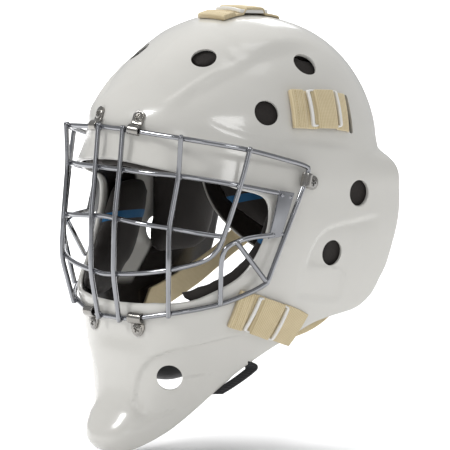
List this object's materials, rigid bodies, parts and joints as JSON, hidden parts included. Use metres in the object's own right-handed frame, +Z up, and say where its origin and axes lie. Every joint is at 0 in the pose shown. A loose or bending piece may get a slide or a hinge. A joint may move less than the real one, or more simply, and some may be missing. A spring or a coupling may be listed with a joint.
{
  "type": "ice hockey goalie mask",
  "caption": "Goalie mask: gloss moulded shell with a chrome wire face cage, elastic straps, hinged back plate, foam pads and a slung chin cup.",
  "frame": {"origin": "middle of the wearer's head, 150 mm below the crown of the shell, on the mask's mirror plane", "axes": "+Z up through the crown, -Y the way the face looks, +X toward the wearer's left"},
  "size_m": [0.2312, 0.2664, 0.3423],
  "materials": {
    "shell_white": "gloss",
    "cage_chrome": "polished",
    "clip_steel": "polished",
    "rivet_steel": "satin",
    "glide_white": "satin",
    "webbing_cream": "woven",
    "webbing_black": "woven",
    "cup_black": "satin",
    "sweatband": "knitted",
    "foam_black": "matte"
  },
  "bodies": {
    "mask": {"shell": "shell_white", "cage_top_bar": "cage_chrome", "cage_lower_rim": "cage_chrome", "cage_brow_bar": "cage_chrome", "cage_nose_bar": "cage_chrome", "cage_eye_wire": "cage_chrome", "cage_center_wire_left": "cage_chrome", "cage_center_wire_right": "cage_chrome", "cage_side_wire_left": "cage_chrome", "cage_side_wire_right": "cage_chrome", "cage_cheek_wire_left": "cage_chrome", "cage_cheek_wire_right": "cage_chrome", "cage_brace_left": "cage_chrome", "cage_brace_right": "cage_chrome", "cage_side_plate_left": "cage_chrome", "cage_side_plate_right": "cage_chrome", "brow_clip_left": "clip_steel", "brow_clip_right": "clip_steel", "chin_clip_left": "clip_steel", "chin_clip_right": "clip_steel", "side_clip_left": "clip_steel", "side_clip_right": "clip_steel", "clip_screws": "clip_steel", "clip_nuts": "clip_steel", "crown_strap": "webbing_cream", "upper_strap_left": "webbing_cream", "upper_strap_right": "webbing_cream", "lower_strap_left": "webbing_cream", "lower_strap_right": "webbing_cream", "crown_glide": "glide_white", "upper_glide_left": "glide_white", "upper_glide_right": "glide_white", "lower_glide_left": "glide_white", "lower_glide_right": "glide_white", "crown_strap_link": "webbing_cream", "upper_strap_link_left": "webbing_cream", "upper_strap_link_right": "webbing_cream", "lower_strap_link_left": "webbing_cream", "lower_strap_link_right": "webbing_cream", "strap_rivets": "rivet_steel", "brow_pad": "sweatband", "crown_pad": "foam_black", "dome_pad_left": "foam_black", "dome_pad_right": "foam_black", "cheek_pad_left": "foam_black", "cheek_pad_right": "foam_black", "ear_pad_left": "foam_black", "ear_pad_right": "foam_black", "chin_sling_left": "webbing_black", "chin_sling_right": "webbing_black"},
    "back_plate": {"back_plate": "shell_white", "back_plate_pad": "foam_black", "back_plate_rivets": "rivet_steel"},
    "chin_cup": {"chin_cup": "cup_black", "chin_cup_pad": "foam_black"}
  },
  "joints": [
    {"name": "back_plate_hinge", "type": "hinge", "parent": "mask", "child": "back_plate", "pos_m": [0, 0.06, 0.128], "axis": [1, 0, 0], "range_deg": [0, 25], "stiffness_Nm_per_rad": 3, "springref_deg": -17.19, "deforming": ["crown_strap_link", "upper_strap_link_left", "upper_strap_link_right", "lower_strap_link_left", "lower_strap_link_right"]},
    {"name": "chin_cup_pivot", "type": "hinge", "parent": "mask", "child": "chin_cup", "pos_m": [0, -0.084, -0.1], "axis": [1, 0, 0], "range_deg": [-15, 15]}
  ]
}
